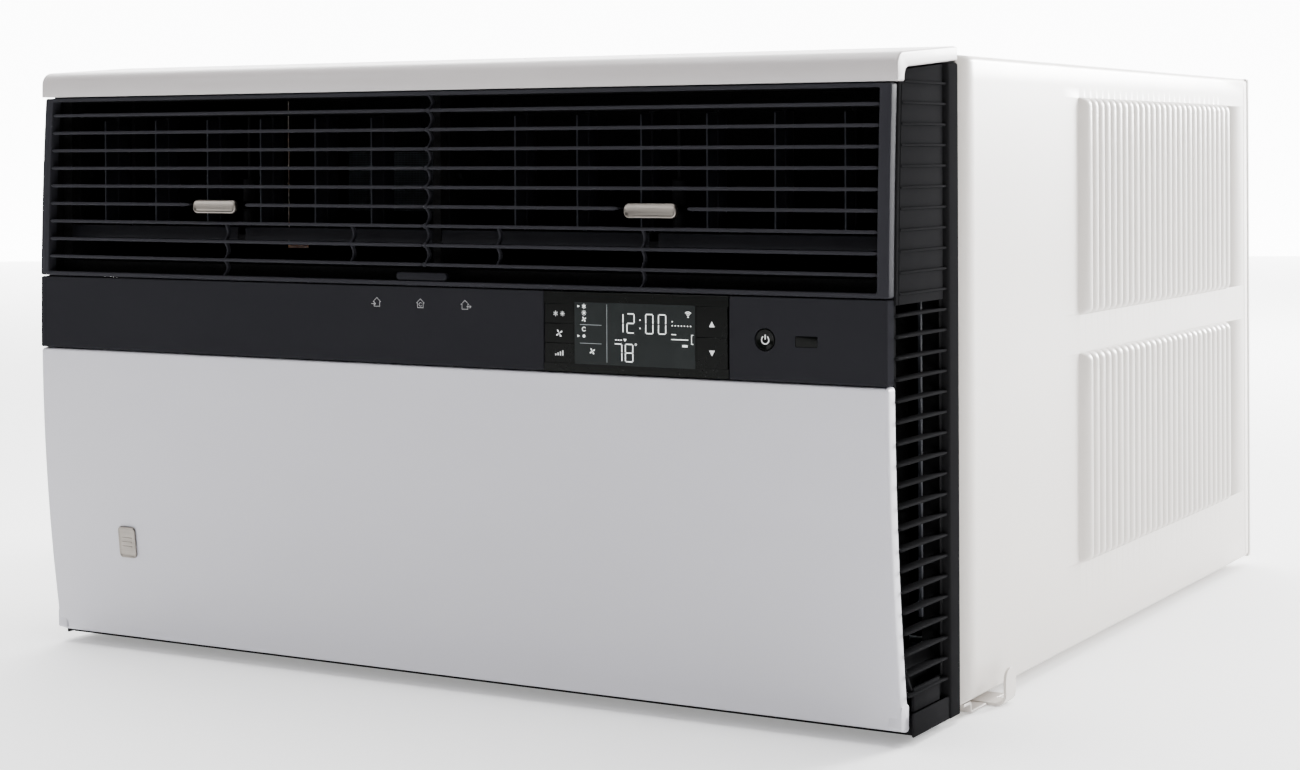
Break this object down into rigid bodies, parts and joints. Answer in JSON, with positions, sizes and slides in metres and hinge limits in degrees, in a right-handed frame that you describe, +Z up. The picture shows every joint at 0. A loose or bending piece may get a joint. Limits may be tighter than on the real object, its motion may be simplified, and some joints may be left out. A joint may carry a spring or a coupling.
{
  "type": "window air conditioner",
  "caption": "Window air conditioner: steel sleeve with a slide-out chassis, slatted discharge grille with lever-set louvres, control band and drop-down intake panel.",
  "frame": {"origin": "middle of the bounding box at its lowest face, on the surface that the sill rail and the rear skids stand on", "axes": "+Z up, front faces -Y, +X on the right seen from the front"},
  "size_m": [0.68, 0.737, 0.4108],
  "materials": {
    "sleeve": "warm off-white baked enamel, satin",
    "guard": "warm off-white baked enamel, satin",
    "panel": "light cool grey moulding, fine spark texture",
    "trim": "light grey moulding, satin",
    "charcoal": "charcoal moulding, fine texture",
    "grille_black": "near-black moulding, satin",
    "gloss": "polished black",
    "nickel": "brushed nickel",
    "galvanised": "galvanised sheet with spangle",
    "fins": "bare fin stock",
    "copper": "drawn copper tube",
    "enamel_black": "black enamel, semi-gloss",
    "white_plastic": "white moulding",
    "filter": "dark filter mesh in a frame",
    "foam": "grey foam-lined duct",
    "rubber": "black rubber"
  },
  "bodies": {
    "cabinet": {"cabinet_sleeve": "sleeve", "sill_rail": "sleeve", "rear_guard": "guard"},
    "chassis": {"base_pan": "galvanised", "front_frame": "charcoal", "side_grille_left": "charcoal", "side_grille_right": "charcoal", "top_trim": "trim", "discharge_grille": "grille_black", "discharge_duct": "foam", "control_band": "charcoal", "display_lens": "gloss", "ir_window": "gloss", "hinge_pin_left": "galvanised", "hinge_pin_right": "galvanised", "evaporator_coil": "fins", "condenser_coil": "fins", "bulkhead": "galvanised", "blower_scroll": "white_plastic", "blower_inlet_plate": "galvanised", "fan_motor": "enamel_black", "motor_bracket": "galvanised", "condenser_shroud": "galvanised", "compressor": "enamel_black", "accumulator": "enamel_black", "suction_line": "copper", "discharge_line": "copper", "capillary_tube": "copper", "control_box": "galvanised", "cord_gland": "rubber"},
    "fan_rotor": {"fan_shaft": "galvanised", "blower_wheel": "grille_black", "condenser_fan": "grille_black"},
    "lower_panel": {"lower_panel": "panel", "badge": "nickel"},
    "air_filter": {"air_filter": "filter"},
    "damper_slider": {"damper_slider": "charcoal"},
    "damper_door": {"damper_door": "white_plastic"},
    "power_button": {"power_button": "charcoal"},
    "key_mode": {"key_mode": "gloss"},
    "key_fan": {"key_fan": "gloss"},
    "key_speed": {"key_speed": "gloss"},
    "key_up": {"key_up": "gloss"},
    "key_down": {"key_down": "gloss"},
    "louver_bank_left": {"louver_frame_left": "grille_black"},
    "louver_lever_left": {"louver_lever_left": "nickel"},
    "louver_bank_right": {"louver_frame_right": "grille_black"},
    "louver_lever_right": {"louver_lever_right": "nickel"},
    "vane_left_1": {"vane_left_1": "grille_black"},
    "vane_left_2": {"vane_left_2": "grille_black"},
    "vane_left_3": {"vane_left_3": "grille_black"},
    "vane_left_4": {"vane_left_4": "grille_black"},
    "vane_left_5": {"vane_left_5": "grille_black"},
    "vane_left_6": {"vane_left_6": "grille_black"},
    "vane_right_1": {"vane_right_1": "grille_black"},
    "vane_right_2": {"vane_right_2": "grille_black"},
    "vane_right_3": {"vane_right_3": "grille_black"},
    "vane_right_4": {"vane_right_4": "grille_black"},
    "vane_right_5": {"vane_right_5": "grille_black"},
    "vane_right_6": {"vane_right_6": "grille_black"}
  },
  "joints": [
    {"name": "chassis_slide", "type": "slide", "parent": "cabinet", "child": "chassis", "axis": [0, -1, 0], "range_m": [0, 0.45]},
    {"name": "panel_hinge", "type": "hinge", "parent": "chassis", "child": "lower_panel", "pos_m": [0, -0.3462, 0.0178], "axis": [1, 0, 0], "range_deg": [0, 65]},
    {"name": "filter_lift", "type": "slide", "parent": "lower_panel", "child": "air_filter", "axis": [0, 0, 1], "range_m": [0, 0.03]},
    {"name": "damper_slide", "type": "slide", "parent": "chassis", "child": "damper_slider", "axis": [1, 0, 0], "range_m": [-0.034, 0.034]},
    {"name": "damper_swing", "type": "hinge", "parent": "chassis", "child": "damper_door", "pos_m": [-0.21, -0.074, 0.345], "axis": [1, 0, 0], "range_deg": [-28, 28]},
    {"name": "fan_spin", "type": "hinge", "parent": "chassis", "child": "fan_rotor", "pos_m": [0.04, 0, 0.145], "axis": [0, 1, 0], "continuous": true},
    {"name": "power_press", "type": "slide", "parent": "chassis", "child": "power_button", "axis": [0, 1, 0], "range_m": [0, 0.0008], "stiffness_N_per_m": 800},
    {"name": "key_mode_press", "type": "slide", "parent": "chassis", "child": "key_mode", "axis": [0, 1, 0], "range_m": [0, 0.0005], "stiffness_N_per_m": 1000},
    {"name": "key_fan_press", "type": "slide", "parent": "chassis", "child": "key_fan", "axis": [0, 1, 0], "range_m": [0, 0.0005], "stiffness_N_per_m": 1000},
    {"name": "key_speed_press", "type": "slide", "parent": "chassis", "child": "key_speed", "axis": [0, 1, 0], "range_m": [0, 0.0005], "stiffness_N_per_m": 1000},
    {"name": "key_up_press", "type": "slide", "parent": "chassis", "child": "key_up", "axis": [0, 1, 0], "range_m": [0, 0.0005], "stiffness_N_per_m": 1000},
    {"name": "key_down_press", "type": "slide", "parent": "chassis", "child": "key_down", "axis": [0, 1, 0], "range_m": [0, 0.0005], "stiffness_N_per_m": 1000},
    {"name": "louver_tilt_left", "type": "hinge", "parent": "chassis", "child": "louver_bank_left", "pos_m": [-0.169, -0.33, 0.3325], "axis": [1, 0, 0], "range_deg": [-7, 7]},
    {"name": "lever_swing_left", "type": "hinge", "parent": "louver_bank_left", "child": "louver_lever_left", "pos_m": [-0.169, -0.33, 0.3325], "axis": [0, 0, 1], "range_deg": [-8, 8]},
    {"name": "vane_swing_left_1", "type": "hinge", "parent": "louver_bank_left", "child": "vane_left_1", "pos_m": [-0.0564, -0.33, 0.3325], "axis": [0, 0, 1], "range_deg": [-24, 24]},
    {"name": "vane_swing_left_2", "type": "hinge", "parent": "louver_bank_left", "child": "vane_left_2", "pos_m": [-0.1027, -0.33, 0.3325], "axis": [0, 0, 1], "range_deg": [-24, 24]},
    {"name": "vane_swing_left_3", "type": "hinge", "parent": "louver_bank_left", "child": "vane_left_3", "pos_m": [-0.149, -0.33, 0.3325], "axis": [0, 0, 1], "range_deg": [-24, 24]},
    {"name": "vane_swing_left_4", "type": "hinge", "parent": "louver_bank_left", "child": "vane_left_4", "pos_m": [-0.1953, -0.33, 0.3325], "axis": [0, 0, 1], "range_deg": [-24, 24]},
    {"name": "vane_swing_left_5", "type": "hinge", "parent": "louver_bank_left", "child": "vane_left_5", "pos_m": [-0.2416, -0.33, 0.3325], "axis": [0, 0, 1], "range_deg": [-24, 24]},
    {"name": "vane_swing_left_6", "type": "hinge", "parent": "louver_bank_left", "child": "vane_left_6", "pos_m": [-0.2879, -0.33, 0.3325], "axis": [0, 0, 1], "range_deg": [-24, 24]},
    {"name": "louver_tilt_right", "type": "hinge", "parent": "chassis", "child": "louver_bank_right", "pos_m": [0.169, -0.33, 0.3325], "axis": [1, 0, 0], "range_deg": [-7, 7]},
    {"name": "lever_swing_right", "type": "hinge", "parent": "louver_bank_right", "child": "louver_lever_right", "pos_m": [0.169, -0.33, 0.3325], "axis": [0, 0, 1], "range_deg": [-8, 8]},
    {"name": "vane_swing_right_1", "type": "hinge", "parent": "louver_bank_right", "child": "vane_right_1", "pos_m": [0.0564, -0.33, 0.3325], "axis": [0, 0, 1], "range_deg": [-24, 24]},
    {"name": "vane_swing_right_2", "type": "hinge", "parent": "louver_bank_right", "child": "vane_right_2", "pos_m": [0.1027, -0.33, 0.3325], "axis": [0, 0, 1], "range_deg": [-24, 24]},
    {"name": "vane_swing_right_3", "type": "hinge", "parent": "louver_bank_right", "child": "vane_right_3", "pos_m": [0.149, -0.33, 0.3325], "axis": [0, 0, 1], "range_deg": [-24, 24]},
    {"name": "vane_swing_right_4", "type": "hinge", "parent": "louver_bank_right", "child": "vane_right_4", "pos_m": [0.1953, -0.33, 0.3325], "axis": [0, 0, 1], "range_deg": [-24, 24]},
    {"name": "vane_swing_right_5", "type": "hinge", "parent": "louver_bank_right", "child": "vane_right_5", "pos_m": [0.2416, -0.33, 0.3325], "axis": [0, 0, 1], "range_deg": [-24, 24]},
    {"name": "vane_swing_right_6", "type": "hinge", "parent": "louver_bank_right", "child": "vane_right_6", "pos_m": [0.2879, -0.33, 0.3325], "axis": [0, 0, 1], "range_deg": [-24, 24]}
  ],
  "couplings": [
    {"joint": "damper_swing", "follows": "damper_slide", "rad_per_m": 14.3},
    {"joint": "vane_swing_left_1", "follows": "lever_swing_left", "ratio": 3},
    {"joint": "vane_swing_left_2", "follows": "lever_swing_left", "ratio": 3},
    {"joint": "vane_swing_left_3", "follows": "lever_swing_left", "ratio": 3},
    {"joint": "vane_swing_left_4", "follows": "lever_swing_left", "ratio": 3},
    {"joint": "vane_swing_left_5", "follows": "lever_swing_left", "ratio": 3},
    {"joint": "vane_swing_left_6", "follows": "lever_swing_left", "ratio": 3},
    {"joint": "vane_swing_right_1", "follows": "lever_swing_right", "ratio": 3},
    {"joint": "vane_swing_right_2", "follows": "lever_swing_right", "ratio": 3},
    {"joint": "vane_swing_right_3", "follows": "lever_swing_right", "ratio": 3},
    {"joint": "vane_swing_right_4", "follows": "lever_swing_right", "ratio": 3},
    {"joint": "vane_swing_right_5", "follows": "lever_swing_right", "ratio": 3},
    {"joint": "vane_swing_right_6", "follows": "lever_swing_right", "ratio": 3}
  ]
}
